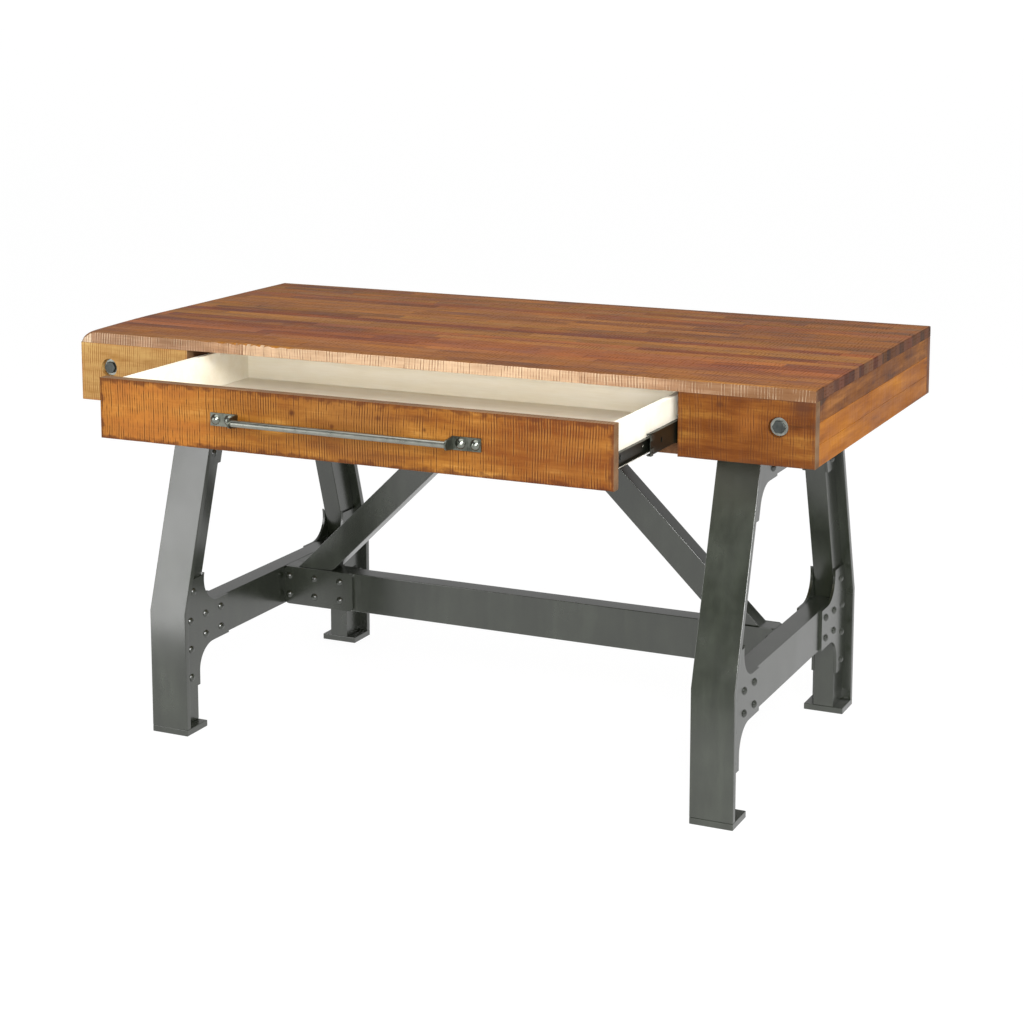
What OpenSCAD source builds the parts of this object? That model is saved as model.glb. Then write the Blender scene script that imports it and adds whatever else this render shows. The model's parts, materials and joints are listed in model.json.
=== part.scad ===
// Writing desk: plank worktop and case on two riveted steel trestles, one wide drawer on telescopic slides.
// X runs along the desk, Y to the back, Z up. The drawer stands partly open. The origin is on the floor,
// under the middle of the space that the desk fills with the drawer at that opening.

/* [Worktop and case] */
// Length of the worktop and of the case under it
desk_w = 1424; // [1200:1:1700]
// Depth of the worktop from front to back
desk_d = 734; // [610:1:890]
// Height of the worktop above the floor
desk_h = 762; // [680:1:920]
// Thickness of the worktop slab
top_t = 20; // [16:1:40]
// Height of the case below the slab
case_h = 109; // [100:1:160]
// Width of the closed block at each end of the case
block_w = 234.6; // [200:0.2:290]
// Thickness of the front panel of each block
front_panel_t = 22; // [18:1:30]
// Thickness of the side panels
side_panel_t = 20; // [16:1:30]
// Thickness of the back panel
back_panel_t = 20; // [16:1:30]
// Thickness of the walls that carry the drawer slides
inner_wall_t = 18; // [15:1:24]
// Thickness of the block floors and of the flat cross rails
floor_t = 18; // [12:1:20]
// Front to back width of the cross rail behind the drawer front
front_rail_d = 80; // [50:1:120]
// Front to back width of the cross rail over the braces
middle_rail_d = 100; // [60:1:140]
// Side of the corner blocks that the front bolts screw into
corner_block_w = 60; // [50:1:80]

/* [Front bolts] */
// Distance of each front bolt from the side of the case
bolt_in = 62.4; // [45:0.1:85]
// Distance of each front bolt below the slab
bolt_down = 45; // [30:1:60]
// Diameter of the bolt shank
bolt_d = 10; // [8:1:12]
// Size of the hex head across its flats
bolt_head_af = 20; // [15:1:22]
// Height of the hex head
bolt_head_h = 5; // [3:0.5:6]
// Outer diameter of the washer
washer_d = 30; // [26:1:32]
// Thickness of the washer
washer_t = 2; // [1:0.5:3]
// Diameter of the recess for the washer
bolt_recess_d = 34; // [33:1:40]
// Depth of the recess
bolt_recess = 9; // [8:0.5:12]

/* [Drawer] */
// How far the drawer stands open
drawer_open = 270; // [0:5:390]
// Full travel of the drawer
drawer_travel = 400; // [400:5:450]
// Thickness of the drawer front
drawer_front_t = 19; // [16:1:25]
// Gap between the drawer front and the blocks on each side
front_side_gap = 1.9; // [1:0.1:4]
// Gap between the drawer front and the slab
front_top_gap = 5; // [2:0.5:8]
// How far the drawer front reaches below the case
front_drop = 1.5; // [0:0.5:6]
// Thickness of the drawer sides, back and inner front
box_t = 12; // [10:0.5:16]
// Length of the drawer box behind its front
box_l = 432; // [420:1:520]
// Distance from the slab down to the top of the drawer box
box_top_gap = 12; // [8:1:20]
// Gap between the cross rails and the drawer box
box_floor_gap = 6.5; // [3:0.5:8]
// Thickness of the drawer bottom
bottom_t = 6; // [4:0.5:8]
// Height of the groove above the lower edge of the drawer sides
groove_up = 2; // [2:0.5:6]
// Depth of the groove that holds the drawer bottom
groove_deep = 5; // [3:0.5:6]

/* [Slides] */
// Length of each slide member
slide_l = 400; // [380:5:400]
// Height of the case member
slide_h = 45; // [40:1:50]
// Height of the middle member
slide_middle_h = 35; // [34:1:38]
// Height of the drawer member
slide_drawer_h = 23; // [22:1:28]
// Thickness of the slide from the case wall to the drawer side
slide_t = 12.7; // [12.7:0.1:16]
// Sheet thickness of the slide members
slide_sheet = 1.2; // [1:0.1:1.5]
// Height of the middle line of the slides above the underside of the case
slide_up = 41; // [40:1:60]
// Number of balls in each row of a cage
ball_count = 10; // [4:1:12]
// Running clearance round each ball
ball_fit = 0.05; // [0.02:0.01:0.1]

/* [Handle] */
// Distance between the outer faces of the two bracket arms
handle_span = 404; // [300:1:600]
// Diameter of the handle bar
handle_bar_d = 11.5; // [8:0.5:16]
// Distance of the middle of the bar from the drawer front
handle_reach = 21; // [18:1:40]
// Diameter of the tenons at the ends of the bar
bar_tenon_d = 7; // [5:0.5:8]
// Length of the tenons, which sit in blind holes in the bracket arms
bar_tenon_l = 2; // [1:0.1:2]
// Metal left round the bar at the tip of the bracket arm
bracket_rim = 3; // [2:0.5:5]
// Distance of the first bracket screw from the bracket arm
bracket_screw_in = 13; // [12:1:16]
// Distance between the two screws of a bracket
bracket_screw_step = 26; // [20:1:34]
// Length of the bracket foot along the drawer front
bracket_l = 52; // [44:1:70]
// Height of the bracket
bracket_h = 22; // [20:1:30]
// Sheet thickness of the bracket
bracket_t = 3; // [2:0.5:4]
// Diameter of the domed screw heads
dome_d = 18; // [12:1:19]
// Height of the domed screw heads
dome_h = 6; // [4:0.5:8]
// Diameter of the screw shanks
handle_screw_d = 6; // [4:0.5:8]

/* [Trestles] */
// Distance of the middle of each trestle from the end of the desk
trestle_in = 171; // [140:1:220]
// Distance of the legs from the front and back edges at the floor
leg_inset = 11; // [0:1:60]
// Height of the bend in the legs
knee_z = 237; // [180:1:240]
// Lean of the legs above the bend, as run over rise
leg_slope = 0.317; // [0.2:0.001:0.35]
// Width of the outer leg plate
flange_w = 78; // [60:1:100]
// Thickness of the outer leg plate
flange_t = 12; // [8:1:16]
// Width of the tubes: posts, rails, stretcher and braces
tube_w = 40; // [30:1:50]
// Wall thickness of the tubes
tube_wall = 3; // [2:0.5:4]
// Depth of a whole leg, plate and tube
leg_depth = 68; // [55:1:80]
// Thickness of the foot plates
foot_t = 12; // [8:1:16]
// Height of the rails and of the stretcher
rail_h = 78; // [60:1:90]
// Height of the underside of the lower rails
rail_z = 155; // [120:1:160]
// Thickness of the gusset plates
gusset_t = 5; // [4:0.5:8]
// Radius of the curved edge of the gussets
gusset_r = 48; // [30:1:50]
// Reach of the lower gussets from the inner face of the leg
gusset_reach = 103; // [90:1:110]
// Reach of the upper gussets from the inner face of the leg
upper_gusset_reach = 66; // [58:1:70]
// Length of the lower gussets down the leg, from the rail
gusset_down = 74; // [60:1:80]
// Length of the gussets up or down the leaning leg, from the rail
gusset_up = 58; // [50:1:70]

/* [Stretcher and braces] */
// Distance of the stretcher behind the middle of the desk
stretcher_back = 60; // [0:1:90]
// Width of the brace tubes, measured along the stretcher
brace_w = 78; // [60:1:95]
// Gap between the foot of each brace and the trestle rail
brace_foot_gap = 30; // [10:1:80]
// Gap between the two braces at their tops
brace_top_gap = 14; // [2:1:40]
// Thickness of the plate over the braces
head_plate_t = 6; // [4:1:10]
// Length of the plate over the braces
head_plate_w = 220; // [190:1:260]
// Front to back width of the plate over the braces
head_plate_d = 80; // [60:1:95]
// Length of the stretcher end plates
end_plate_l = 157; // [140:1:180]
// Corner radius of the stretcher end plates
end_plate_r = 9; // [4:1:15]

/* [Rivets] */
// Diameter of the rivet heads
rivet_head_d = 15; // [12:0.5:16]
// Height of the rivet heads
rivet_head_h = 5; // [3:0.5:6]
// Diameter of the rivet shanks
rivet_d = 6; // [5:0.5:7]
// Spacing of the rivets down the legs
rivet_leg_step = 55; // [50:1:56]
// Half the spacing of the two rows of rivets along a rail
rivet_row = 20; // [14:1:24]
// Half the spacing of the two rows of rivets on the stretcher end plates
end_row = 19; // [14:0.5:24]
// Distance of the first end plate rivets from the trestle rail
end_rivet_in = 10.5; // [9:0.5:20]
// Spacing of the end plate rivets along the stretcher
end_rivet_step = 58.5; // [40:0.5:64]

/* [Hidden] */
$fn = 48;
// Clearance of a pin, screw or rivet in its hole, on the radius
fit = 0.05;
// Gap between a moving piece and the fixed piece that it meets
running_gap = 1;
// Small overlap that makes a cut pass through a face
eps = 0.5;

half_w = desk_w / 2;
half_d = desk_d / 2;
case_top = desk_h - top_t;
case_z = case_top - case_h;
opening_x = half_w - block_w;
front_in = -half_d + front_panel_t;
back_in = half_d - back_panel_t;
// Wood left behind the end of each bolt, and the room at its tip
bolt_cover = 14;
bolt_deep = corner_block_w - bolt_cover;
bolt_room = 4;

// Drawer, as placed when closed; drawer_open moves it forward
drawer_front_y = -half_d;
box_y = drawer_front_y + drawer_front_t;
box_x = opening_x - slide_t;
box_z0 = case_z + floor_t + box_floor_gap;
box_z1 = case_top - box_top_gap;
groove_z = box_z0 + groove_up;
rail_front = box_y + running_gap;
front_z0 = case_z - front_drop;
front_z1 = case_top - front_top_gap;
slide_back = 3;
slide_y = box_y + slide_back;
slide_z = case_z + slide_up;

// Handle, in the closed position
handle_z = (front_z0 + front_z1) / 2;
bracket_tip_d = handle_bar_d + 2 * bracket_rim;
arm_tip = handle_reach + bracket_tip_d / 2;
bar_half = handle_span / 2 - bracket_t;
bracket_x1 = handle_span / 2 + bracket_l - bracket_t;
handle_screw_x = [for (i = [0, 1]) handle_span / 2 + bracket_screw_in + i * bracket_screw_step];
handle_screw_cover = 4;
screw_len = drawer_front_t + box_t - handle_screw_cover;

// Shift that puts the middle of the filled space over the origin
centre_shift = (drawer_open + arm_tip) / 2;

// Trestles
trestle_x = half_w - trestle_in;
leg_y = half_d - leg_inset;
lean = sqrt(1 + leg_slope * leg_slope);
rail_top = rail_z + rail_h;
upper_rail_z = case_z - rail_h;
inner_x = trestle_x - tube_w / 2;
rail_mid = rail_z + rail_h / 2;
upper_mid = case_z - rail_h / 2;
gusset_x = tube_w / 2;

// Slide section, measured from the drawer side towards the case wall
middle_web_in = 4.4;
middle_web = slide_t - middle_web_in;
drawer_flange_in = 1.8;
drawer_flange = middle_web - drawer_flange_in;
middle_flange = 2.2;
case_flange = 5;
inner_ball = (slide_middle_h - 2 * slide_sheet - slide_drawer_h) / 2 - 2 * ball_fit;
outer_ball = (slide_h - 2 * slide_sheet - slide_middle_h) / 2 - 2 * ball_fit;
inner_ball_z = (slide_middle_h / 2 - slide_sheet + slide_drawer_h / 2) / 2;
outer_ball_z = (slide_h / 2 - slide_sheet + slide_middle_h / 2) / 2;
inner_ball_x = (middle_flange + drawer_flange) / 2;
outer_ball_x = (case_flange + middle_web + slide_sheet) / 2;
cage_t = 0.4;
cage_l = 150;
cage_y = 125;
cage_end = 8;
ball_step = (cage_l - 2 * cage_end) / (ball_count - 1);
outer_cage_gap = 0.3;
inner_cage_gap = 0.6;
lip_past_ball = 0.5;
slide_screw_d = 4;
slide_screw_l = 9;
slide_screw_room = 1;
slide_head_d = 8;
slide_head_h = 1;
case_screw_y = [12, 300, 385];
drawer_screw_y = [30, 200, 370];
// Holes that a screwdriver reaches through, and the slot in the middle member that lines up with one of them
access_d = 5;
drawer_access_y = [125, 184];
middle_slot_y = 49;
middle_slot_w = 6;
middle_slot_h = 8;

// Rivets of the trestles: depth from the outer face of the leg, heights, distances along the rails
leg_mid = (flange_t + leg_depth) / 2;
leg_rivet_lift = 18;
lower_leg_rivets = [for (i = [-2:1]) rail_mid + leg_rivet_lift + i * rivet_leg_step];
upper_leg_rivets = [for (z = [-75, -25, 20]) upper_mid + z];
lower_rail_rivets = [for (y = [24, 77]) leg_depth + y];
upper_rail_rivet = 44;
end_rivets = [for (i = [0:2]) end_rivet_in + i * end_rivet_step];
rivet_tail = 2;

// Screws between the trestles and the case
base_screw_in = 49;
base_screw_y = leg_line(leg_depth, case_z) - base_screw_in;
base_screw_d = 6;
base_screw_head_d = 12;
base_screw_head_h = 3;
base_screw_up = floor_t - 2;
head_screw_in = 15;
head_screw_x = head_plate_w / 2 - head_screw_in;
head_screw_y = 24;

// Braces, drawn on the right: the run and the rise from the stretcher to the head plate
brace_z1 = case_z - head_plate_t;
brace_foot_x = inner_x - brace_foot_gap;
brace_run = brace_foot_x - brace_w - brace_top_gap / 2;
brace_rise = brace_z1 - rail_top;
brace_wall = tube_wall * sqrt(1 + pow(brace_run / brace_rise, 2));

// ---- Helpers ----

// Moves a piece from the middle of the desk to the origin used for the whole model
module desk() translate([0, centre_shift, 0]) children();

// Moves a piece of the drawer to where the drawer stands
module opened(share = 1) translate([0, -drawer_open * share, 0]) children();

// Draws the right-hand form on the right (1) or mirrored on the left (-1)
module on_side(s) mirror([s < 0 ? 1 : 0, 0, 0]) children();

// Draws the rear form at the back (1) or mirrored at the front (-1)
module at_end(e) mirror([0, e < 0 ? 1 : 0, 0]) children();

// A box from one corner to the opposite one
module block(a, b) translate(a) cube(b - a);

// A cylinder along Y, from y = 0 towards +Y
module rod_y(d, l) rotate([-90, 0, 0]) cylinder(d = d, h = l);

// A cylinder along X, from x = 0 towards +X
module rod_x(d, l) rotate([0, 90, 0]) cylinder(d = d, h = l);

// Extrudes an outline drawn in Y and Z along X, from x0 to x1
module plate_x(x0, x1) translate([x0, 0, 0]) rotate([90, 0, 90]) linear_extrude(x1 - x0) children();

// Extrudes an outline drawn in X and Z along Y, from y0 to y1
module plate_y(y0, y1) translate([0, y1, 0]) rotate([90, 0, 0]) linear_extrude(y1 - y0) children();

// A cap cut from a ball, standing on z = 0
module dome(d, h) {
    r = (d * d / 4 + h * h) / (2 * h);
    intersection() {
        translate([0, 0, h - r]) sphere(r = r);
        cylinder(d = d + 2, h = h);
    }
}

// ---- Case ----

module tabletop() desk() color("#84523A")
    block([-half_w, -half_d, case_top], [half_w, half_d, desk_h]);

module front_panel(s) desk() color("#A8682F") on_side(s) difference() {
    block([opening_x, -half_d, case_z], [half_w, front_in, case_top]);
    translate([half_w - bolt_in, -half_d - eps, case_top - bolt_down]) {
        rod_y(bolt_recess_d, bolt_recess + eps);
        rod_y(bolt_d + 2 * fit, front_panel_t + 2 * eps);
    }
}

module side_panel(s) desk() color("#C4832F") on_side(s)
    block([half_w - side_panel_t, front_in, case_z], [half_w, back_in, case_top]);

module inner_wall(s) desk() color("#A8682F") on_side(s) difference() {
    block([opening_x, front_in, case_z], [opening_x + inner_wall_t, back_in, case_top]);
    for (y = case_screw_y) translate([opening_x - eps, slide_y + y, slide_z])
        rod_x(slide_screw_d + 2 * fit, slide_screw_l + slide_screw_room + eps);
}

module floor_panel(s) desk() color("#A8682F") on_side(s) difference() {
    block([opening_x + inner_wall_t, front_in, case_z], [half_w - side_panel_t, back_in, case_z + floor_t]);
    for (y = [-base_screw_y, base_screw_y]) translate([trestle_x, y, case_z - eps])
        cylinder(d = base_screw_d + 2 * fit, h = floor_t + 2 * eps);
}

module back_panel() desk() color("#A8682F")
    block([-half_w, back_in, case_z], [half_w, half_d, case_top]);

module front_rail() desk() color("#A8682F")
    block([-opening_x, rail_front, case_z], [opening_x, rail_front + front_rail_d, case_z + floor_t]);

module middle_rail() desk() color("#A8682F") difference() {
    block([-opening_x, stretcher_back - middle_rail_d / 2, case_z],
          [opening_x, stretcher_back + middle_rail_d / 2, case_z + floor_t]);
    for (x = [-head_screw_x, head_screw_x], y = [-head_screw_y, head_screw_y])
        translate([x, stretcher_back + y, case_z - eps])
            cylinder(d = base_screw_d + 2 * fit, h = floor_t + 2 * eps);
}

module corner_blocks() desk() color("#C9A36B") for (s = [-1, 1]) on_side(s) difference() {
    block([half_w - side_panel_t - corner_block_w, front_in, case_z + floor_t],
          [half_w - side_panel_t, front_in + corner_block_w, case_top]);
    translate([half_w - bolt_in, front_in - eps, case_top - bolt_down])
        rod_y(bolt_d + 2 * fit, bolt_deep + bolt_room + eps);
}

module front_bolts() desk() color("#6E7577") for (s = [-1, 1]) on_side(s)
    translate([half_w - bolt_in, -half_d + bolt_recess - washer_t, case_top - bolt_down]) {
        translate([0, -bolt_head_h, 0]) rotate([-90, 0, 0])
            cylinder(d = bolt_head_af / cos(30), h = bolt_head_h, $fn = 6);
        rod_y(bolt_d, washer_t + front_panel_t - bolt_recess + bolt_deep);
    }

module front_washers() desk() color("#8A9092") for (s = [-1, 1]) on_side(s)
    translate([half_w - bolt_in, -half_d + bolt_recess - washer_t, case_top - bolt_down])
        difference() {
            rod_y(washer_d, washer_t);
            translate([0, -eps, 0]) rod_y(bolt_d + 2 * fit, washer_t + 2 * eps);
        }

// ---- Drawer ----

// Holes for the four handle screws, through whatever stands behind the drawer front
module handle_holes() for (s = [-1, 1], x = handle_screw_x)
    translate([s * x, drawer_front_y - eps, handle_z]) rod_y(handle_screw_d + 2 * fit, screw_len + 2 * eps);

module drawer_front() desk() opened() color("#B5702B") difference() {
    block([-opening_x + front_side_gap, drawer_front_y, front_z0],
          [opening_x - front_side_gap, box_y, front_z1]);
    handle_holes();
}

// The bottom panel with its clearance, for cutting the grooves
module bottom_space() block(
    [-box_x + box_t - groove_deep - fit, box_y + box_t - groove_deep - fit, groove_z],
    [box_x - box_t + groove_deep + fit, box_y + box_l - box_t + groove_deep + fit, groove_z + bottom_t]);

module drawer_inner_front() desk() opened() color("#E9DEC2") difference() {
    block([-box_x + box_t, box_y, box_z0], [box_x - box_t, box_y + box_t, box_z1]);
    bottom_space();
    handle_holes();
}

module drawer_side(s) desk() opened() color("#E9DEC2") on_side(s) difference() {
    block([box_x - box_t, box_y, box_z0], [box_x, box_y + box_l, box_z1]);
    bottom_space();
    for (y = drawer_screw_y) translate([box_x - slide_screw_l, slide_y + y, slide_z])
        rod_x(slide_screw_d + 2 * fit, slide_screw_l + eps);
}

module drawer_back() desk() opened() color("#E9DEC2") difference() {
    block([-box_x + box_t, box_y + box_l - box_t, box_z0], [box_x - box_t, box_y + box_l, box_z1]);
    bottom_space();
}

module drawer_bottom() desk() opened() color("#EFE6D0") block(
    [-box_x + box_t - groove_deep, box_y + box_t - groove_deep, groove_z],
    [box_x - box_t + groove_deep, box_y + box_l - box_t + groove_deep, groove_z + bottom_t]);

// ---- Handle ----

module handle_bar() desk() opened() color("#9AA0A0")
    translate([0, drawer_front_y - handle_reach, handle_z]) {
        translate([-bar_half, 0, 0]) rod_x(handle_bar_d, 2 * bar_half);
        translate([-bar_half - bar_tenon_l, 0, 0]) rod_x(bar_tenon_d, 2 * (bar_half + bar_tenon_l));
    }

module handle_bracket(s) desk() opened() color("#74797A") on_side(s) difference() {
    union() {
        block([handle_span / 2 - bracket_t, drawer_front_y - bracket_t, handle_z - bracket_h / 2],
              [bracket_x1, drawer_front_y, handle_z + bracket_h / 2]);
        plate_x(handle_span / 2 - bracket_t, handle_span / 2) translate([drawer_front_y, handle_z]) {
            polygon([[0, -bracket_h / 2], [0, bracket_h / 2],
                     [-handle_reach, bracket_tip_d / 2], [-handle_reach, -bracket_tip_d / 2]]);
            translate([-handle_reach, 0]) circle(d = bracket_tip_d);
        }
    }
    translate([handle_span / 2 - bracket_t - eps, drawer_front_y - handle_reach, handle_z])
        rod_x(bar_tenon_d + 2 * fit, bar_tenon_l + eps);
    for (x = handle_screw_x) translate([x, drawer_front_y - bracket_t - eps, handle_z])
        rod_y(handle_screw_d + 2 * fit, bracket_t + 2 * eps);
}

module handle_screws() desk() opened() color("#7C8283") for (s = [-1, 1], x = handle_screw_x)
    translate([s * x, drawer_front_y - bracket_t, handle_z]) {
        rotate([90, 0, 0]) dome(dome_d, dome_h);
        rod_y(handle_screw_d, bracket_t + screw_len);
    }

// ---- Slides ----

// A channel: web from x0 to x0 + sheet, lips from the web to x1, open at the x1 side
module channel(h, x0, x1, l) {
    web = x1 > x0 ? x0 : x0 - slide_sheet;
    lip0 = min(web, x1);
    lip1 = max(web + slide_sheet, x1);
    block([web, 0, -h / 2], [web + slide_sheet, l, h / 2]);
    for (m = [-1, 1]) on_top(m) block([lip0, 0, h / 2 - slide_sheet], [lip1, l, h / 2]);
}

// Draws the upper form above (1) or mirrored below (-1) the middle line
module on_top(m) mirror([0, 0, m < 0 ? 1 : 0]) children();

// Places a slide piece by the drawer side, at its share of the drawer's opening
module slide(s, share) desk() opened(share) on_side(s) translate([box_x, slide_y, slide_z]) children();

module slide_case_member(s) slide(s, 0) color("#2A2D22") difference() {
    channel(slide_h, slide_t, case_flange, slide_l);
    for (y = case_screw_y) translate([slide_t - slide_sheet - eps, y, 0])
        rod_x(slide_screw_d + 2 * fit, slide_sheet + 2 * eps);
}

module slide_middle_member(s) slide(s, 0.5) color("#25281F") difference() {
    channel(slide_middle_h, middle_web + slide_sheet, middle_flange, slide_l);
    block([middle_web - eps, middle_slot_y - middle_slot_w / 2, -middle_slot_h / 2],
          [middle_web + slide_sheet + eps, middle_slot_y + middle_slot_w / 2, middle_slot_h / 2]);
}

module slide_drawer_member(s) slide(s, 1) color("#2E3126") difference() {
    channel(slide_drawer_h, 0, drawer_flange, slide_l);
    for (y = drawer_screw_y) translate([-eps, y, 0])
        rod_x(slide_screw_d + 2 * fit, slide_sheet + 2 * eps);
    for (y = drawer_access_y) translate([-eps, y, 0]) rod_x(access_d, slide_sheet + 2 * eps);
}

// A ball cage: a bent strip with a row of balls above and below
module ball_cage(web_x, ball_x, ball_z, ball) {
    half = ball_z + cage_t / 2;
    lip_x = ball_x - ball / 2 - lip_past_ball;
    difference() {
        union() {
            block([web_x, 0, -half], [web_x + cage_t, cage_l, half]);
            for (m = [-1, 1]) on_top(m)
                block([lip_x, 0, half - cage_t], [web_x + cage_t, cage_l, half]);
        }
        for (i = [0:ball_count - 1]) translate([ball_x, cage_end + i * ball_step, -half - eps])
            cylinder(d = ball + 2 * fit, h = 2 * (half + eps));
    }
    for (i = [0:ball_count - 1], m = [-1, 1]) on_top(m)
        translate([ball_x, cage_end + i * ball_step, ball_z]) sphere(d = ball, $fn = 24);
}

module slide_outer_cage(s) slide(s, 0.25) color("#8C8F88") translate([0, cage_y, 0])
    ball_cage(middle_web + slide_sheet + outer_cage_gap, outer_ball_x, outer_ball_z, outer_ball);

module slide_inner_cage(s) slide(s, 0.75) color("#8C8F88") translate([0, cage_y, 0])
    ball_cage(drawer_flange + inner_cage_gap, inner_ball_x, inner_ball_z, inner_ball);

module case_slide_screws() color("#8A9092") for (s = [-1, 1], y = case_screw_y) slide(s, 0)
    translate([slide_t - slide_sheet, y, 0]) {
        translate([-slide_head_h, 0, 0]) rod_x(slide_head_d, slide_head_h);
        rod_x(slide_screw_d, slide_sheet + slide_screw_l);
    }

module drawer_slide_screws() color("#8A9092") for (s = [-1, 1], y = drawer_screw_y) slide(s, 1)
    translate([slide_sheet, y, 0]) {
        rod_x(slide_head_d, slide_head_h);
        translate([-slide_screw_l, 0, 0]) rod_x(slide_screw_d, slide_screw_l);
    }

// ---- Trestles ----

// Place of a line that runs down the rear leg, t in from its outer face: its Y at a height above the bend,
// and the height of its bend
function leg_line(t, z) = leg_y - leg_slope * (z - knee_z) - t * lean;
function leg_knee(t) = knee_z - t * (lean - 1) / leg_slope;
function leg_at(t, z) = z < leg_knee(t) ? leg_y - t : leg_line(t, z);

// Outline of the part of the rear leg between two depths, from z0 up to the case
module leg_strip(t0, t1, z0, z1) polygon([
    [leg_y - t0, z0], [leg_y - t0, leg_knee(t0)], [leg_line(t0, z1), z1],
    [leg_line(t1, z1), z1], [leg_y - t1, leg_knee(t1)], [leg_y - t1, z0]
]);

// Outline of a stretch of the leaning part between two heights
module leaning_strip(t0, t1, z0, z1) polygon([
    [leg_line(t0, z0), z0], [leg_line(t0, z1), z1], [leg_line(t1, z1), z1], [leg_line(t1, z0), z0]
]);

module trestle(s) desk() on_side(s) translate([trestle_x, 0, 0]) children();

module leg_plate(s, e) trestle(s) at_end(e) color("#6F756F")
    plate_x(-flange_w / 2, flange_w / 2) leg_strip(0, flange_t, foot_t, case_z);

module post(s, e) trestle(s) at_end(e) color("#4A4D48") difference() {
    plate_x(-tube_w / 2, tube_w / 2) leg_strip(flange_t, leg_depth, foot_t, case_z);
    plate_x(-tube_w / 2 + tube_wall, tube_w / 2 - tube_wall) difference() {
        leg_strip(flange_t + tube_wall, leg_depth - tube_wall, foot_t - eps, case_z);
        translate([-half_d, case_z - tube_wall]) square([2 * half_d, rail_h]);
    }
    rail_rivet_holes();
}

module feet(s) for (e = [-1, 1]) trestle(s) at_end(e) color("#4A4D48")
    block([-flange_w / 2, leg_y - leg_depth, 0], [flange_w / 2, leg_y, foot_t]);

module lower_rail(s) trestle(s) color("#5B5F5A") difference() {
    block([-tube_w / 2, -leg_y + leg_depth, rail_z], [tube_w / 2, leg_y - leg_depth, rail_top]);
    block([-tube_w / 2 + tube_wall, -leg_y + leg_depth - eps, rail_z + tube_wall],
          [tube_w / 2 - tube_wall, leg_y - leg_depth + eps, rail_top - tube_wall]);
    for (e = [-1, 1]) at_end(e) {
        rail_rivet_holes();
        plate_x(-tube_w / 2 - eps, tube_w / 2 + eps) leg_strip(flange_t, leg_depth, foot_t, case_z);
    }
}

// Outline of the upper rail between the two leaning posts, w inside its top and bottom and reaching
// into the legs as far as depth t
module upper_rail_outline(w, t) polygon([
    [-leg_line(t, upper_rail_z + w), upper_rail_z + w], [leg_line(t, upper_rail_z + w), upper_rail_z + w],
    [leg_line(t, case_z - w), case_z - w], [-leg_line(t, case_z - w), case_z - w]
]);

module upper_rail(s) trestle(s) color("#4A4D48") difference() {
    plate_x(-tube_w / 2, tube_w / 2) upper_rail_outline(0, leg_depth);
    plate_x(-tube_w / 2 + tube_wall, tube_w / 2 - tube_wall) upper_rail_outline(tube_wall, leg_depth - eps);
    for (e = [-1, 1]) at_end(e) rail_rivet_holes();
    for (y = [-base_screw_y, base_screw_y]) translate([0, y, upper_rail_z - eps]) {
        cylinder(d = base_screw_head_d + 2, h = rail_h - tube_wall);
        cylinder(d = base_screw_d + 2 * fit, h = rail_h + 2 * eps);
    }
}

// Rivet places on one face of the rear half of a trestle, as [y, z]
gusset_rivets = concat(
    [for (z = lower_leg_rivets) [leg_at(leg_mid, z), z]],
    [for (u = lower_rail_rivets, r = [-rivet_row, rivet_row]) [leg_y - u, rail_mid + r]],
    [for (z = upper_leg_rivets) [leg_at(leg_mid, z), z]],
    [for (r = [-rivet_row, rivet_row]) [leg_at(leg_depth, upper_mid) - upper_rail_rivet, upper_mid + r]]
);

module rail_rivet_holes() for (p = gusset_rivets, m = [-1, 1])
    translate([m * (gusset_x - tube_wall / 2) - tube_wall, p[0], p[1]])
        rod_x(rivet_d + 2 * fit, 2 * tube_wall);

// The corner between a leaning leg and a rail face at height z, filled out to a curve: above the rail
// (up = 1) or below it (up = -1)
module leaning_corner(z, up) {
    mid_z = z + up * gusset_r;
    mid_y = leg_line(leg_depth, mid_z) - gusset_r * lean;
    difference() {
        polygon([
            [mid_y, z], [leg_line(leg_depth, z), z],
            [mid_y + gusset_r / lean, mid_z + gusset_r * leg_slope / lean], [mid_y, mid_z]
        ]);
        translate([mid_y, mid_z]) circle(r = gusset_r);
    }
}

module lower_gusset_outline() {
    inner = leg_y - leg_depth;
    leg_strip(flange_t, leg_depth, rail_z - gusset_down, rail_top + gusset_up);
    translate([inner - gusset_reach, rail_z]) square([gusset_reach + eps, rail_h]);
    leaning_corner(rail_top, 1);
    translate([inner, rail_z]) difference() {
        translate([-gusset_r, -gusset_r]) square([gusset_r + eps, gusset_r + eps]);
        translate([-gusset_r, -gusset_r]) circle(r = gusset_r);
    }
}

module upper_gusset_outline() {
    end_y = leg_line(leg_depth, upper_mid) - upper_gusset_reach;
    leaning_strip(flange_t, leg_depth, upper_rail_z - gusset_up, case_z);
    polygon([
        [end_y, upper_rail_z], [leg_line(leg_depth - eps, upper_rail_z), upper_rail_z],
        [leg_line(leg_depth - eps, case_z), case_z], [end_y, case_z]
    ]);
    leaning_corner(upper_rail_z, -1);
}

module gussets(s) trestle(s) for (e = [-1, 1], m = [-1, 1]) at_end(e) on_side(m) color("#565A55")
    difference() {
        plate_x(gusset_x, gusset_x + gusset_t) {
            lower_gusset_outline();
            upper_gusset_outline();
        }
        for (p = gusset_rivets) translate([gusset_x - eps, p[0], p[1]])
            rod_x(rivet_d + 2 * fit, gusset_t + 2 * eps);
    }

// A rivet through a plate, head up: the plate lies on a tube wall with its outer face at z = 0
module rivet() {
    dome(rivet_head_d, rivet_head_h);
    translate([0, 0, -gusset_t - tube_wall - rivet_tail])
        cylinder(d = rivet_d, h = gusset_t + tube_wall + rivet_tail);
}

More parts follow.
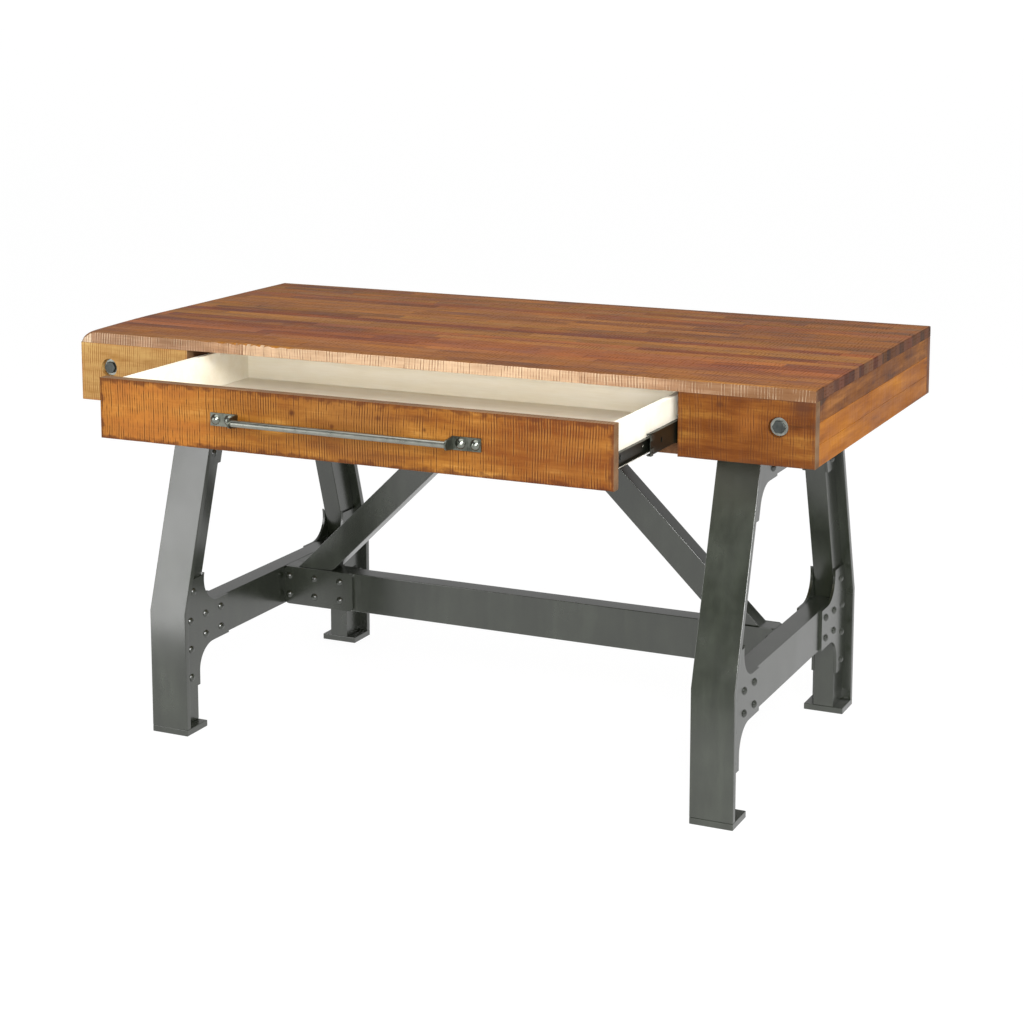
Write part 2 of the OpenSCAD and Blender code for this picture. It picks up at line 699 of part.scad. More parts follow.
module base_rivets() color("#4A4D48") {
    for (s = [-1, 1], e = [-1, 1], m = [-1, 1], p = gusset_rivets) trestle(s) at_end(e) on_side(m)
        translate([gusset_x + gusset_t, p[0], p[1]]) rotate([0, 90, 0]) rivet();
    for (s = [-1, 1], e = [-1, 1], x = end_rivets, r = [-end_row, end_row]) stretcher_place(s, e)
        translate([inner_x - x, tube_w / 2 + gusset_t, rail_mid + r]) rotate([-90, 0, 0]) rivet();
}

// ---- Stretcher and braces ----

// Places a piece on the rear face of the stretcher on the right, or mirrored to the other three places
module stretcher_place(s, e) desk() on_side(s) translate([0, stretcher_back, 0]) at_end(e) children();

// Holes for the end plate rivets on the right half of the rear face
module end_rivet_holes() for (x = end_rivets, r = [-end_row, end_row])
    translate([inner_x - x, tube_w / 2 - tube_wall - eps, rail_mid + r])
        rod_y(rivet_d + 2 * fit, tube_wall + gusset_t + 2 * eps);

module stretcher() desk() translate([0, stretcher_back, 0]) color("#4F534E") difference() {
    block([-inner_x, -tube_w / 2, rail_z], [inner_x, tube_w / 2, rail_top]);
    block([-inner_x - eps, -tube_w / 2 + tube_wall, rail_z + tube_wall],
          [inner_x + eps, tube_w / 2 - tube_wall, rail_top - tube_wall]);
    for (s = [-1, 1], e = [-1, 1]) on_side(s) at_end(e) end_rivet_holes();
}

// A rectangle from one corner to the opposite one, with rounded corners
module rounded(x0, z0, x1, z1, r) {
    translate([x0 + r, z0]) square([x1 - x0 - 2 * r, z1 - z0]);
    translate([x0, z0 + r]) square([x1 - x0, z1 - z0 - 2 * r]);
    for (x = [x0 + r, x1 - r], z = [z0 + r, z1 - r]) translate([x, z]) circle(r = r);
}

module stretcher_end_plates() for (s = [-1, 1], e = [-1, 1]) stretcher_place(s, e) color("#5B5F5A")
    difference() {
        plate_y(tube_w / 2, tube_w / 2 + gusset_t)
            rounded(inner_x - end_plate_l, rail_z, inner_x, rail_top, end_plate_r);
        end_rivet_holes();
    }

// Outline of the right brace between the stretcher and the head plate, w inside its sloping sides
module brace_outline(w, over) {
    slope = brace_run / brace_rise;
    polygon([
        [brace_foot_x - brace_w + w + slope * over, rail_top - over],
        [brace_foot_x - w + slope * over, rail_top - over],
        [brace_top_gap / 2 + brace_w - w - slope * over, brace_z1 + over],
        [brace_top_gap / 2 + w - slope * over, brace_z1 + over]
    ]);
}

module brace(s) desk() on_side(s) translate([0, stretcher_back, 0]) color("#454843") difference() {
    plate_y(-tube_w / 2, tube_w / 2) brace_outline(0, 0);
    plate_y(-tube_w / 2 + tube_wall, tube_w / 2 - tube_wall) brace_outline(brace_wall, eps);
}

module brace_head_plate() desk() translate([0, stretcher_back, 0]) color("#454843") difference() {
    block([-head_plate_w / 2, -head_plate_d / 2, brace_z1], [head_plate_w / 2, head_plate_d / 2, case_z]);
    for (x = [-head_screw_x, head_screw_x], y = [-head_screw_y, head_screw_y])
        translate([x, y, brace_z1 - eps]) cylinder(d = base_screw_d + 2 * fit, h = head_plate_t + 2 * eps);
}

// A screw pointing up, with the top face of its head at z = 0, through a plate t thick into the case
module base_screw(t) {
    translate([0, 0, -base_screw_head_h]) cylinder(d = base_screw_head_d, h = base_screw_head_h);
    cylinder(d = base_screw_d, h = t + base_screw_up);
}

module base_screws() color("#7C8283") {
    for (s = [-1, 1], y = [-base_screw_y, base_screw_y]) trestle(s)
        translate([0, y, case_z - tube_wall]) base_screw(tube_wall);
    for (x = [-head_screw_x, head_screw_x], y = [-head_screw_y, head_screw_y]) desk()
        translate([x, stretcher_back + y, brace_z1]) base_screw(head_plate_t);
}

tabletop();
front_panel(-1);  // left_front_panel
front_panel(1);  // right_front_panel
side_panel(-1);  // left_side_panel
side_panel(1);  // right_side_panel
inner_wall(-1);  // left_inner_wall
inner_wall(1);  // right_inner_wall
floor_panel(-1);  // left_floor_panel
floor_panel(1);  // right_floor_panel
back_panel();
front_rail();
middle_rail();
corner_blocks();
front_bolts();
front_washers();
drawer_front();
drawer_inner_front();
drawer_side(-1);  // drawer_left_side
drawer_side(1);  // drawer_right_side
drawer_back();
drawer_bottom();
handle_bar();
handle_bracket(-1);  // left_handle_bracket
handle_bracket(1);  // right_handle_bracket
handle_screws();
slide_case_member(-1);  // left_slide_case_member
slide_case_member(1);  // right_slide_case_member
slide_middle_member(-1);  // left_slide_middle_member
slide_middle_member(1);  // right_slide_middle_member
slide_drawer_member(-1);  // left_slide_drawer_member
slide_drawer_member(1);  // right_slide_drawer_member
slide_outer_cage(-1);  // left_slide_outer_cage
slide_outer_cage(1);  // right_slide_outer_cage
slide_inner_cage(-1);  // left_slide_inner_cage
slide_inner_cage(1);  // right_slide_inner_cage
case_slide_screws();
drawer_slide_screws();
leg_plate(-1, -1);  // front_left_leg_plate
leg_plate(1, -1);  // front_right_leg_plate
leg_plate(-1, 1);  // rear_left_leg_plate
leg_plate(1, 1);  // rear_right_leg_plate
post(-1, -1);  // front_left_post
post(1, -1);  // front_right_post
post(-1, 1);  // rear_left_post
post(1, 1);  // rear_right_post
feet(-1);  // left_feet
feet(1);  // right_feet
lower_rail(-1);  // left_lower_rail
lower_rail(1);  // right_lower_rail
upper_rail(-1);  // left_upper_rail
upper_rail(1);  // right_upper_rail
gussets(-1);  // left_gussets
gussets(1);  // right_gussets
base_rivets();
stretcher();
brace(-1);  // left_brace
brace(1);  // right_brace
stretcher_end_plates();
brace_head_plate();
base_screws();
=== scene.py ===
"""A sawn-plank writing desk on riveted steel trestles, dressed for its portrait."""

import json
import math

import bmesh
import bpy
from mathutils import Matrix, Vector, noise


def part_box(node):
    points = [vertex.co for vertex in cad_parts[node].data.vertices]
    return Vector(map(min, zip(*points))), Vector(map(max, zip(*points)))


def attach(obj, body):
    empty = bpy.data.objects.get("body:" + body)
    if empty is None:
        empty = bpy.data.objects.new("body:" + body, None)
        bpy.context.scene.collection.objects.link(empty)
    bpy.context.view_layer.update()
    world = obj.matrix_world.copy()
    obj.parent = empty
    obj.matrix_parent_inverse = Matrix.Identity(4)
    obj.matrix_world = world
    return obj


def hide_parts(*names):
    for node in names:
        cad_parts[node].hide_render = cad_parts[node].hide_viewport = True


MM = 0.001
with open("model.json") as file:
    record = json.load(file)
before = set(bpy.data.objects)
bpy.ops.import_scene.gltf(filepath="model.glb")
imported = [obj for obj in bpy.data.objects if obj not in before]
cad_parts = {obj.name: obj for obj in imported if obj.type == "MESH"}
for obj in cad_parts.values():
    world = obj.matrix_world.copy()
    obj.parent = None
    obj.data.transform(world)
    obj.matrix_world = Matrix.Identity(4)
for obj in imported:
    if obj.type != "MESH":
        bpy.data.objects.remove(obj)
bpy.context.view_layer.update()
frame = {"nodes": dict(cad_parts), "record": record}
record = frame["record"]
nodes = frame["nodes"]


BODY_OF = {n: b for b, members in record["behaviour"]["bodies"].items() for n in members}
SLOT_OF = {p["node"]: p["material_slot"] for p in record["subparts"]}

# ---------------------------------------------------------------- working on meshes


def deselect():
    for o in bpy.context.selected_objects:
        o.select_set(False)


def activate(piece):
    deselect()
    piece.select_set(True)
    bpy.context.view_layer.objects.active = piece


def start_edit(piece):
    """Edit mode with nothing selected; returns the mesh being edited."""
    activate(piece)
    bpy.ops.object.mode_set(mode="EDIT")
    bpy.ops.mesh.select_mode(type="EDGE")
    bpy.ops.mesh.select_all(action="DESELECT")
    return bmesh.from_edit_mesh(piece.data)


def end_edit():
    bpy.ops.object.mode_set(mode="OBJECT")


def settle(piece, name):
    """Names a piece and puts its place into its mesh."""
    piece.name = name
    piece.data.name = name
    activate(piece)
    bpy.ops.object.transform_apply(location=True, rotation=True, scale=True)
    return piece


def smooth(piece, angle=35):
    """Smooth shading that leaves the flat faces flat right up to their rounded edges."""
    activate(piece)
    bpy.ops.object.shade_smooth_by_angle(angle=math.radians(angle))
    weighted = piece.modifiers.new("weighted", "WEIGHTED_NORMAL")
    weighted.keep_sharp = True
    bpy.ops.object.modifier_apply(modifier="weighted")


def block(name, lo, hi):
    """A box from one corner to the other, as a start for a piece."""
    deselect()
    lo, hi = Vector(lo), Vector(hi)
    bpy.ops.mesh.primitive_cube_add(size=1, location=(lo + hi) / 2, scale=hi - lo)
    return settle(bpy.context.object, name)


def grid(name, centre, wide, tall, cells, turn=(0, 0, 0)):
    """A flat sheet of mesh cells, as a start for a worked surface."""
    deselect()
    bpy.ops.mesh.primitive_grid_add(x_subdivisions=cells[0], y_subdivisions=cells[1], size=1,
                                    location=centre, rotation=turn)
    bpy.context.object.scale = (wide, tall, 1)
    return settle(bpy.context.object, name)


def bevel_sharp(piece, width, segments=2, shortest=0.0):
    """Rounds the sharp edges of a piece, leaving out those shorter than asked."""
    bm = start_edit(piece)
    bpy.ops.mesh.edges_select_sharp(sharpness=math.radians(30))
    for e in bm.edges:
        if e.select and e.calc_length() < shortest:
            e.select_set(False)
    bmesh.update_edit_mesh(piece.data)
    bpy.ops.mesh.bevel(offset=width, segments=segments, affect="EDGES", clamp_overlap=True)
    end_edit()


def join(pieces, name):
    deselect()
    for p in pieces:
        p.select_set(True)
    bpy.context.view_layer.objects.active = pieces[0]
    bpy.ops.object.join()
    pieces[0].name = name
    pieces[0].data.name = name
    return pieces[0]


def stand_for(piece, node, material):
    """A finished piece takes the place of a CAD node, rides on its body and takes its finish."""
    piece.data.materials.clear()
    piece.data.materials.append(material)
    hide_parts(node)
    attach(piece, BODY_OF[node])
    return piece


def merged_copy(node, name):
    """A copy of a CAD node as one closed mesh of its own, ready to be worked on."""
    source = nodes[node]
    piece = source.copy()
    piece.data = source.data.copy()
    piece.parent = None
    for key in list(piece.keys()):
        del piece[key]
    bpy.context.scene.collection.objects.link(piece)
    piece.name = name
    start_edit(piece)
    bpy.ops.mesh.select_all(action="SELECT")
    bpy.ops.mesh.remove_doubles(threshold=0.01 * MM)
    bpy.ops.mesh.dissolve_limited(angle_limit=math.radians(0.5))
    end_edit()
    activate(piece)
    bpy.ops.mesh.customdata_custom_splitnormals_clear()
    return piece


def keep_creases(piece):
    """Marks the shallow bends, such as the knee of a leg, so that smooth shading leaves them crisp."""
    bm = start_edit(piece)
    for e in bm.edges:
        e.select_set(len(e.link_faces) == 2 and 5 < math.degrees(e.calc_face_angle(0)) < 28)
    bmesh.update_edit_mesh(piece.data)
    bpy.ops.mesh.mark_sharp()
    end_edit()


def eased(node, width, material, segments=2, shortest=2.5 * MM, creases=False):
    """A CAD node with its sharp edges eased, as a file or a coat of paint leaves them."""
    piece = merged_copy(node, node + "_eased")
    if creases:
        keep_creases(piece)
    if width:
        bevel_sharp(piece, width, segments, shortest)
    smooth(piece)
    return stand_for(piece, node, material)


def carried(node, material):
    """A CAD node that stays as it is and gets a finish."""
    mesh = nodes[node].data
    if not mesh.materials:
        mesh.materials.append(material)
    for i in range(len(mesh.materials)):
        mesh.materials[i] = material


# ---------------------------------------------------------------- finishes


def colour(code):
    """An sRGB hex value as linear red, green, blue and a full alpha."""
    out = []
    for i in (1, 3, 5):
        c = int(code[i:i + 2], 16) / 255
        out.append(c / 12.92 if c <= 0.04045 else ((c + 0.055) / 1.055) ** 2.4)
    return (*out, 1.0)


def add(tree, kind, inputs=(), out=0, stops=None, **settings):
    """Adds a node with its settings and links, and returns one of its outputs.

    inputs: a list in the order of the sockets, or a dict by name or number."""
    n = tree.nodes.new("ShaderNode" + kind)
    for key, value in settings.items():
        setattr(n, key, value)
    if stops:
        ramp = n.color_ramp.elements
        while len(ramp) < len(stops):
            ramp.new(0.5)
        for element, (place, tone) in zip(ramp, stops):
            element.position = place
            element.color = colour(tone)
    pairs = inputs.items() if isinstance(inputs, dict) else enumerate(inputs)
    for key, value in pairs:
        if isinstance(value, bpy.types.NodeSocket):
            tree.links.new(value, n.inputs[key])
        else:
            n.inputs[key].default_value = value
    return n.outputs[out] if n.outputs else n


def new_material(name):
    m = bpy.data.materials.new(name)
    m.use_nodes = True
    m.node_tree.nodes.clear()
    return m, m.node_tree


def wood(name, tones, along="X", across="Z", staves=None, saw=1.0, saw_gap=6.2, streak=0.5, patchy=0.5,
         gloss=0.45, box=None, rim_tone="#5A2E1C", rim_width=10.0, rim_share=0.7, spots=(), groove_shade_and_joint_tone="#472610",
         bump=0.25, shine=0.12):
    """Sawn or planed hardwood under a thin brown wax.

    tones: the colours that one board runs through, dark to light. along, across: the grain's direction and
    the board's width. staves: (width, length) in mm of the glued pieces. saw: how strongly the saw marks
    show, one each saw_gap mm, as painted shade in their grooves in the tone cut and as painted highlights on
    the ridges between them; cut also darkens the glue joints. streak, patchy: how strongly the growth rings
    and the wax vary. gloss: the middle roughness. box: the board's own box, whose rims take rim_tone by
    rim_share over rim_width mm. spots: knots, stains and broad patches, each (x, y, z, radius, tone, share)
    in metres; the broad patches are partly painted light. bump: the relief's strength. shine: how much the
    wax mirrors, where 0.5 is full."""
    m, t = new_material(name)
    place = add(t, "TexCoord", out="Object")
    apart = [add(t, "SeparateXYZ", [place], out=axis) for axis in "XYZ"]
    a, b = apart["XYZ".index(along)], apart["XYZ".index(across)]
    c = apart["XYZ".index(({"X", "Y", "Z"} - {along, across}).pop())]
    shift, tint, joint = (0.0, 0.0, 0.0), 0.5, None
    if staves:
        wide, long = staves[0] * MM, staves[1] * MM
        row_place = add(t, "Math", [b, wide], operation="DIVIDE")
        row = add(t, "Math", [row_place], operation="FLOOR")
        row_random = add(t, "TexWhiteNoise", {"W": row}, noise_dimensions="1D")
        run_place = add(t, "Math", [a, long], operation="DIVIDE")
        run_place = add(t, "Math", [row_random, 7.31, run_place], operation="MULTIPLY_ADD")
        run = add(t, "Math", [run_place], operation="FLOOR")
        cell = add(t, "CombineXYZ", [row, run])
        tint = add(t, "TexWhiteNoise", {"Vector": cell}, noise_dimensions="3D")
        shift = add(t, "TexWhiteNoise", {"Vector": cell}, out=1, noise_dimensions="3D")
        # the glue lines between the staves: about 1 mm, dark with wax
        gaps = [add(t, "Math", [add(t, "Math", [p, 0.5], operation="PINGPONG"), w], operation="LESS_THAN")
                for p, w in ((row_place, 0.55 * MM / wide), (run_place, 0.6 * MM / long))]
        joint = add(t, "Math", gaps, operation="MAXIMUM")

    def stretched(pa, pb, offset=20.0, detail=4.0, rough=0.55):
        """Noise with pa lumps a metre along the grain and pb across it."""
        v = add(t, "CombineXYZ", [add(t, "Math", [x, p], operation="MULTIPLY") for x, p in
                                  ((a, pa), (b, pb), (c, pb))])
        v = add(t, "VectorMath", [shift, (offset, offset, offset), v], operation="MULTIPLY_ADD")
        return add(t, "TexNoise", {"Vector": v, "Scale": 1.0, "Detail": detail, "Roughness": rough})

    figure = stretched(5, 48, detail=5.0)          # growth rings, 20 mm wide streaks
    fibre = stretched(30, 420, 31.0, 3.0)          # fibre, drawn 2 mm wide so that it shows
    blotch = stretched(10, 22, 13.0, 3.0)          # wax soaked in by patches
    parts = [(figure, streak * 2.4), (blotch, patchy * 2.2), (fibre, 0.5), (tint, 0.7 if staves else 0.0)]
    level = 0.5 - 0.5 * sum(weight for _, weight in parts)
    for source, weight in parts:
        if weight:
            level = add(t, "Math", [source, weight, level], operation="MULTIPLY_ADD")
    tone = add(t, "ValToRGB", [level], stops=[(i / (len(tones) - 1), tone) for i, tone in enumerate(tones)])
    if staves:
        hue = add(t, "Math", [row_random, 0.022, 0.489], operation="MULTIPLY_ADD")
        tone = add(t, "HueSaturation", {"Hue": hue, "Color": tone})
    # spots: knots and stains, and broad patches that are partly painted light
    for x, y, z, radius, patch_tone, share in spots:
        away = add(t, "VectorMath", [place, (x, y, z)], out=1, operation="DISTANCE")
        away = add(t, "Math", [figure, radius * 1.4, away], operation="MULTIPLY_ADD")
        spot = add(t, "MapRange", [away, radius * 1.9, radius * 0.8, 0.0, share],
                   interpolation_type="SMOOTHSTEP")
        tone = add(t, "Mix", {0: spot, 6: tone, 7: colour(patch_tone)}, out=2, data_type="RGBA")

    # the saw's teeth: a line across the grain each saw_gap mm, wavering, broken where the board wore smooth,
    # drawn as painted shade in the groove and a painted highlight on the ridge beside it
    waver = stretched(3, 9, 3.0, 2.0)
    u = add(t, "Math", [a, 1000 / saw_gap], operation="MULTIPLY")
    u = add(t, "Math", [waver, 2.6, u], operation="MULTIPLY_ADD")
    tooth = add(t, "Math", [u], operation="ROUND")
    off_line = add(t, "Math", [u, 0.5], operation="PINGPONG")
    luck = add(t, "TexWhiteNoise", {"W": tooth}, noise_dimensions="1D")
    along_line = add(t, "CombineXYZ", [add(t, "Math", [x, p], operation="MULTIPLY") for x, p in
                                       ((tooth, 1.7), (b, 60.0), (c, 60.0))])
    broken = add(t, "TexNoise", {"Vector": along_line, "Scale": 1.0, "Detail": 2.0})
    broken = add(t, "Math", [luck, 0.3, broken], operation="MULTIPLY_ADD")
    worn = stretched(12, 26, 5.0, 2.0)
    here = add(t, "Math", [worn, 0.6, broken], operation="MULTIPLY_ADD")
    in_groove = add(t, "MapRange", [off_line, 0.24, 0.06])
    groove_here = add(t, "MapRange", [here, 0.78, 1.12])
    depth = add(t, "Math", [in_groove, groove_here], operation="MULTIPLY")
    # the ridges between the grooves, which take a painted highlight below
    between = add(t, "MapRange", [off_line, 0.26, 0.46])
    ridge_here = add(t, "MapRange", [here, 0.85, 1.2])
    ridge_highlight = add(t, "Math", [between, ridge_here], operation="MULTIPLY")
    if saw:
        # painted shade: the saw grooves darkened towards the groove tone
        dark = add(t, "Math", [depth, 0.85 * saw], operation="MULTIPLY", use_clamp=True)
        tone = add(t, "Mix", {0: dark, 6: tone, 7: colour(groove_shade_and_joint_tone)}, out=2, data_type="RGBA")
        # painted highlight: the ridges between the saw grooves paled towards the lightest tone
        pale = add(t, "Math", [ridge_highlight, 0.45 * saw], operation="MULTIPLY", use_clamp=True)
        tone = add(t, "Mix", {0: pale, 6: tone, 7: colour(tones[-1])}, out=2, data_type="RGBA")
    if box:
        near = None
        for socket, lo, hi in zip(apart, *box):
            if hi - lo < 30 * MM:
                continue
            off = add(t, "Math", [socket, (hi + lo) / 2], operation="SUBTRACT")
            off = add(t, "Math", [off], operation="ABSOLUTE")
            off = add(t, "Math", [(hi - lo) / 2, off], operation="SUBTRACT")
            near = off if near is None else add(t, "Math", [near, off], operation="MINIMUM")
        ragged = add(t, "Math", [stretched(50, 70, 9.0, 3.0), 0.5], operation="SUBTRACT")
        ragged = add(t, "Math", [ragged, rim_width * MM * 3.0, near], operation="MULTIPLY_ADD")
        rim = add(t, "MapRange", [ragged, rim_width * MM, 0.0, 0.0, rim_share],
                  interpolation_type="SMOOTHSTEP")
        tone = add(t, "Mix", {0: rim, 6: tone, 7: colour(rim_tone)}, out=2, data_type="RGBA")
    height = add(t, "Math", [figure, 0.5], operation="MULTIPLY")
    height = add(t, "Math", [depth, -1.2 * saw, height], operation="MULTIPLY_ADD")
    if joint is not None:
        seam = add(t, "Math", [joint, 0.55], operation="MULTIPLY")
        tone = add(t, "Mix", {0: seam, 6: tone, 7: colour(groove_shade_and_joint_tone)}, out=2, data_type="RGBA")
        height = add(t, "Math", [height, joint], operation="SUBTRACT")
    normal = add(t, "Bump", {"Height": height, "Strength": bump, "Distance": 0.6 * MM})
    rough = add(t, "Math", [blotch, 0.35, gloss - 0.175], operation="MULTIPLY_ADD")
    rough = add(t, "Math", [depth, 0.2, rough], operation="MULTIPLY_ADD", use_clamp=True)
    shader = add(t, "BsdfPrincipled", {"Base Color": tone, "Roughness": rough, "Normal": normal, "IOR": 1.45,
                                       "Specular IOR Level": shine})
    add(t, "OutputMaterial", [shader])
    return m


def painted_steel(name, base, pale, dark, gloss=0.24):
    """Mild steel under one coat of satin graphite paint: cloudy, streaked and rubbed paler in spots."""
    m, t = new_material(name)
    place = add(t, "TexCoord", out="Object")
    long = add(t, "Mapping", {"Vector": place, "Scale": (60.0, 60.0, 9.0)})
    streaks = add(t, "TexNoise", {"Vector": long, "Scale": 1.0, "Detail": 5.0, "Roughness": 0.6})
    clouds = add(t, "TexNoise", {"Vector": place, "Scale": 7.0, "Detail": 4.0, "Roughness": 0.6})
    grit = add(t, "TexNoise", {"Vector": place, "Scale": 900.0, "Detail": 2.0})   # orange peel, about 1 mm
    half = add(t, "Math", [clouds, 0.5], operation="MULTIPLY")
    level = add(t, "Math", [streaks, 0.5, half], operation="MULTIPLY_ADD")
    tone = add(t, "ValToRGB", [level], stops=[(0.3, dark), (0.5, base), (0.75, pale)])
    rubbed = add(t, "TexNoise", {"Vector": place, "Scale": 38.0, "Detail": 6.0, "Roughness": 0.7})
    spots = add(t, "MapRange", [rubbed, 0.6, 0.8, 0.0, 0.3])
    tone = add(t, "Mix", {0: spots, 6: tone, 7: colour(pale)}, out=2, data_type="RGBA")
    rough = add(t, "Math", [clouds, 0.25, gloss - 0.125], operation="MULTIPLY_ADD")
    height = add(t, "Math", [grit, 0.4, streaks], operation="MULTIPLY_ADD")
    normal = add(t, "Bump", {"Height": height, "Strength": 0.06, "Distance": 0.3 * MM})
    shader = add(t, "BsdfPrincipled", {"Base Color": tone, "Roughness": rough, "Normal": normal, "IOR": 1.76})
    add(t, "OutputMaterial", [shader])
    return m


def bare_steel(name, base, dark, gloss=0.34, brushed="X", metal=1.0):
    """Bare or zinc-plated steel: fine brush lines along one direction and dull handled patches."""
    m, t = new_material(name)
    place = add(t, "TexCoord", out="Object")
    fine, slow = 1600.0, 14.0
    scale = {"X": (slow, fine, fine), "Y": (fine, slow, fine), "Z": (fine, fine, slow)}[brushed]
    lines = add(t, "Mapping", {"Vector": place, "Scale": scale})
    brush = add(t, "TexNoise", {"Vector": lines, "Scale": 1.0, "Detail": 3.0})
    patch = add(t, "TexNoise", {"Vector": place, "Scale": 60.0, "Detail": 4.0, "Roughness": 0.6})
    half = add(t, "Math", [patch, 0.6], operation="MULTIPLY")
    level = add(t, "Math", [brush, 0.4, half], operation="MULTIPLY_ADD")
    tone = add(t, "ValToRGB", [level], stops=[(0.3, dark), (0.62, base)])
    rough = add(t, "Math", [level, 0.3, gloss - 0.15], operation="MULTIPLY_ADD")
    normal = add(t, "Bump", {"Height": brush, "Strength": 0.1, "Distance": 0.1 * MM})
    shader = add(t, "BsdfPrincipled", {"Base Color": tone, "Roughness": rough, "Metallic": metal,
                                       "Normal": normal})
    add(t, "OutputMaterial", [shader])
    return m


def moulded_plastic(name, tone, worn, gloss):
    """Black moulded nylon with a fine spark-eroded grain, about 0.5 mm."""
    m, t = new_material(name)
    place = add(t, "TexCoord", out="Object")
    grain = add(t, "TexNoise", {"Vector": place, "Scale": 2000.0, "Detail": 2.0})
    dust = add(t, "TexNoise", {"Vector": place, "Scale": 90.0, "Detail": 4.0})
    tones = add(t, "ValToRGB", [dust], stops=[(0.35, tone), (0.75, worn)])
    rough = add(t, "Math", [dust, 0.3, gloss - 0.15], operation="MULTIPLY_ADD")
    normal = add(t, "Bump", {"Height": grain, "Strength": 0.15, "Distance": 0.1 * MM})
    shader = add(t, "BsdfPrincipled", {"Base Color": tones, "Roughness": rough, "Normal": normal,
                                       "IOR": 1.53})
    add(t, "OutputMaterial", [shader])
    return m


def box_of(node):
    return [tuple(c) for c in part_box(node)]


TOP_LO, TOP_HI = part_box("tabletop")
FACE_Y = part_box("drawer_front")[0].y
BLOCK_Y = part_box("left_front_panel")[0].y
STAVE_WIDE, STAVE_LONG = 29.4, 330.0        # mm, the slab's glued pieces

WORKTOP = wood("worktop_staved_hardwood", ["#5B2E0B", "#6F3C14", "#7D4918", "#88521E", "#965D25"],
               across="Y", staves=(STAVE_WIDE, STAVE_LONG), saw=0.4, saw_gap=7.0, streak=0.6,
               patchy=0.55, gloss=0.46, box=box_of("tabletop"), rim_tone="#5B3524", rim_width=6.0,
               rim_share=0.3, bump=0.3, groove_shade_and_joint_tone="#53301F")
# the front edge: the broad dark patch towards its right end is partly the wood's own colour and partly
# painted shade, darker away from the light on the left
SLAB_EDGE = wood("worktop_edge_sawn_hardwood", ["#74593F", "#8C6F53", "#9D8467", "#AE9678", "#C6B89E"],
                 staves=(400.0, STAVE_LONG), saw=0.85, saw_gap=5.5, streak=0.3, patchy=0.4, gloss=0.6,
                 groove_shade_and_joint_tone="#5A3B28", bump=0.4, spots=[(0.66, TOP_LO.y, TOP_LO.z, 0.28, "#553416", 0.75)])
SLAB_END = wood("worktop_end_grain", ["#3A2216", "#4E2E1D", "#5C3823", "#6A4430", "#6B3A22"],
                along="Z", across="Y", staves=(STAVE_WIDE, 400.0), saw=0.25, streak=0.35, gloss=0.6, bump=0.3)
BOARD_RIM = wood("board_edge_sawn_hardwood", ["#523A26", "#624832", "#70543A", "#7C6044", "#8C7052"],
                 saw=0.2, streak=0.4, gloss=0.55, bump=0.2)
# the left block's tones, paler than the right block's, are partly the wood's own colour and partly painted
# light, brighter near the light on the left
LEFT_BLOCK = wood("left_block_sawn_hardwood", ["#724B25", "#856030", "#947141", "#9D7D49", "#AB8E5A"],
                  saw=1.2, saw_gap=4.6, streak=0.7, patchy=0.7, groove_shade_and_joint_tone="#7A5026",
                  box=box_of("left_front_panel"), rim_tone="#8A5632", rim_width=5.0, rim_share=0.35,
                  spots=[(-0.54, BLOCK_Y, 0.65, 0.06, "#87553A", 0.6)])
# the right block's darker tones are partly the wood's own colour and partly painted shade, darker away from
# the light on the left
RIGHT_BLOCK = wood("right_block_sawn_hardwood", ["#381B05", "#4E2708", "#5A310D", "#653B12", "#754D1D"],
                   saw=1.1, saw_gap=4.8, streak=0.8, patchy=0.7,
                   box=box_of("right_front_panel"), rim_tone="#4A2A18", rim_width=7.0, rim_share=0.5,
                   spots=[(0.69, BLOCK_Y, 0.735, 0.026, "#3E2417", 0.75),
                          (0.55, BLOCK_Y, 0.727, 0.007, "#3A1C0C", 0.8),
                          (0.60, BLOCK_Y, 0.70, 0.03, "#84501F", 0.35)])
# the long front: browner in the middle, redder to the right, paler to the left, and four knots; the broad
# paler patch on the left and darker one on the right are partly the wood's own colour and partly painted
# light, brighter on the side the light comes from
DRAWER_FACE = wood("drawer_front_sawn_hardwood", ["#512A09", "#6B3E13", "#794C19", "#875922", "#976B31"],
                   saw=1.25, saw_gap=4.8, streak=0.7, patchy=0.7,
                   box=box_of("drawer_front"), rim_tone="#43200F", rim_width=10.0, rim_share=0.75,
                   spots=[(0.02, FACE_Y, 0.70, 0.15, "#64401F", 0.5),
                          (0.38, FACE_Y, 0.68, 0.2, "#5C2E10", 0.6),
                          (-0.095, FACE_Y, 0.707, 0.007, "#3A1A0A", 0.85),
                          (-0.02, FACE_Y, 0.690, 0.005, "#46230F", 0.8),
                          (0.066, FACE_Y, 0.712, 0.006, "#3F1E0C", 0.8),
                          (0.149, FACE_Y, 0.700, 0.005, "#3F1E0C", 0.8),
                          (-0.43, FACE_Y, 0.718, 0.03, "#5E2A14", 0.5),
                          (-0.37, FACE_Y, 0.67, 0.17, "#A9692A", 0.45)])
SIDE_BOARDS = wood("side_planed_hardwood", ["#6E3C0A", "#8A4E0C", "#995A10", "#A56414", "#B5741C"],
                   along="Y", saw=0.1, streak=0.9, patchy=0.3, gloss=0.4, bump=0.12, shine=0.05)
SIDE_TOP_BOARD = wood("side_figured_hardwood", ["#3E2008", "#5C320F", "#704115", "#7F4D1C", "#935F2A"],
                      along="Y", saw=0.2, streak=1.0, patchy=0.9, gloss=0.42, bump=0.15, shine=0.05)
BACK_BOARDS = wood("back_sawn_hardwood", ["#4E2A10", "#6A421C", "#7A4F24", "#875A2C", "#966C3C"], saw=0.6,
                   saw_gap=5.6, streak=0.6, box=box_of("back_panel"))
